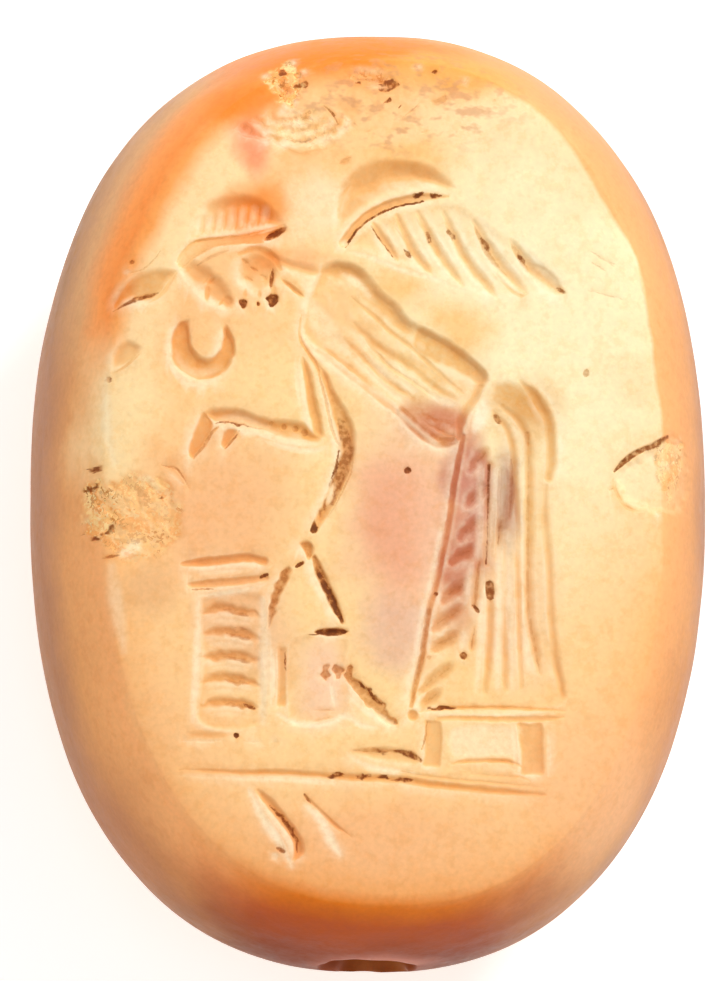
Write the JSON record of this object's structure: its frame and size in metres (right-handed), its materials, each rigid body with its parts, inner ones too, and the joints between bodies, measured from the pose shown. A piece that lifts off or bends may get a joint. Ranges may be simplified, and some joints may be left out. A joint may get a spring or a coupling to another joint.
{
  "type": "stamp seal",
  "caption": "Oval stamp seal of banded translucent chalcedony, its face engraved with a bowed winged figure before an altar, bored lengthwise for a string.",
  "frame": {"origin": "middle of the small flat on the domed back that the stone rests on", "axes": "+Z out of the engraved face, +Y along the stone towards the top of the engraved scene, +X across the face to the right of the scene"},
  "size_m": [0.018, 0.0248, 0.012],
  "materials": {
    "chalcedony": "polished, translucent, banded orange to cream, worn and chipped at the rim"
  },
  "bodies": {
    "root": {"seal_stone": "chalcedony"}
  },
  "joints": []
}
